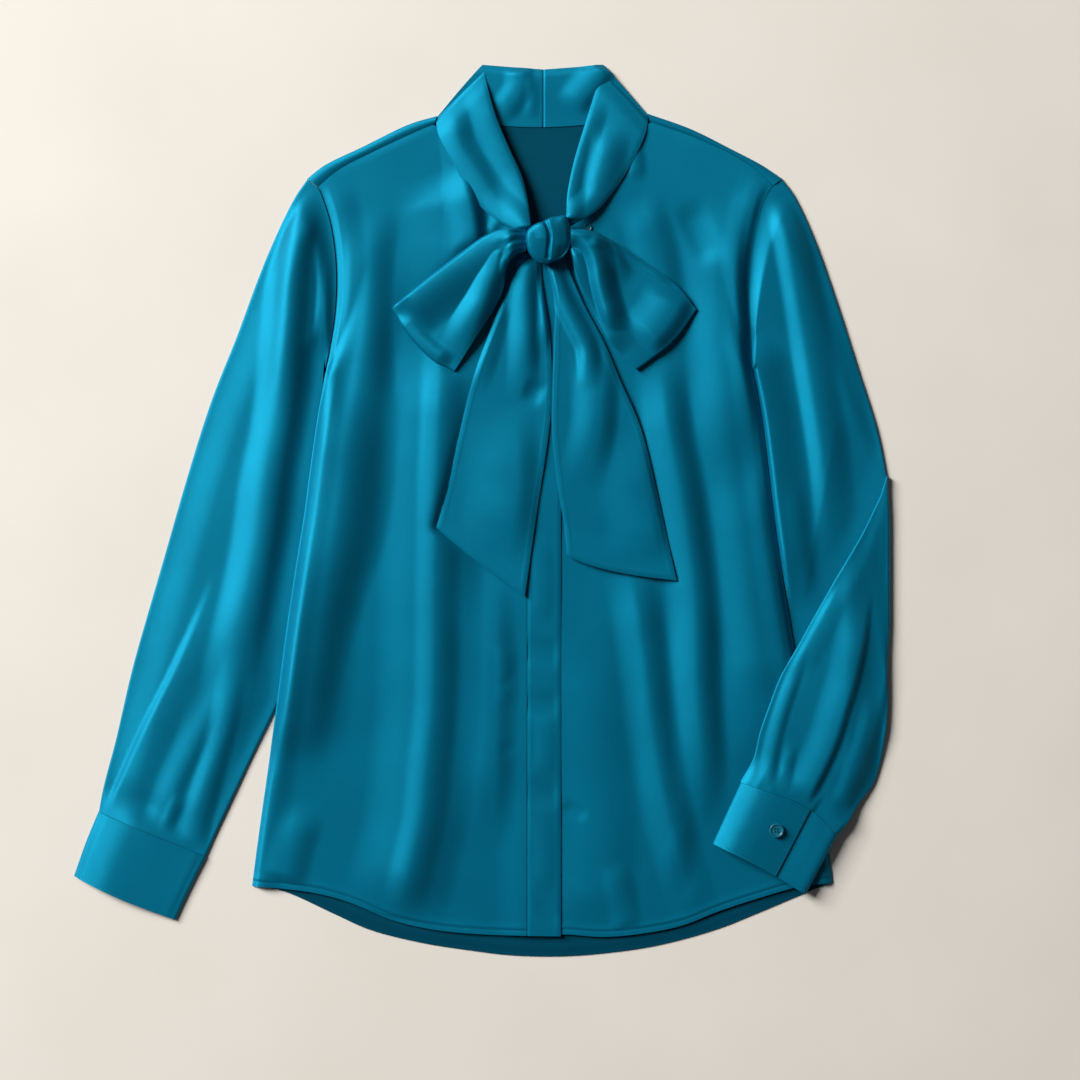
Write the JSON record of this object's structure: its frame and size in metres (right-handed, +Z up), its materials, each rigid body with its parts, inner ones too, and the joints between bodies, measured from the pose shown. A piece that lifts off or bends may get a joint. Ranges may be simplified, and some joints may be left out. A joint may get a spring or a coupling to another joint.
{
  "type": "blouse",
  "caption": "Long-sleeved satin blouse in deep teal with a tie collar knotted in a bow, laid flat with one sleeve folded back.",
  "frame": {"origin": "on the surface, below the middle of the laid-out blouse", "axes": "+Z up from the surface, +Y towards the neck, +X towards the wearer's left sleeve"},
  "size_m": [0.6945, 0.759, 0.0295],
  "materials": {
    "satin": "teal satin with a soft bright sheen",
    "button": "dyed to match, glossy"
  },
  "bodies": {
    "root": {"back": "satin", "front_right": "satin", "front_left": "satin", "placket": "satin", "sleeve_right": "satin", "sleeve_left": "satin", "cuff_right": "satin", "cuff_left": "satin", "collar_back_right": "satin", "collar_back_left": "satin", "collar_front_right": "satin", "collar_front_left": "satin", "bow_knot": "satin", "bow_loop_right": "satin", "bow_loop_left": "satin", "bow_tail_right": "satin", "bow_tail_left": "satin", "cuff_button": "button", "neck_button": "button"}
  },
  "joints": []
}
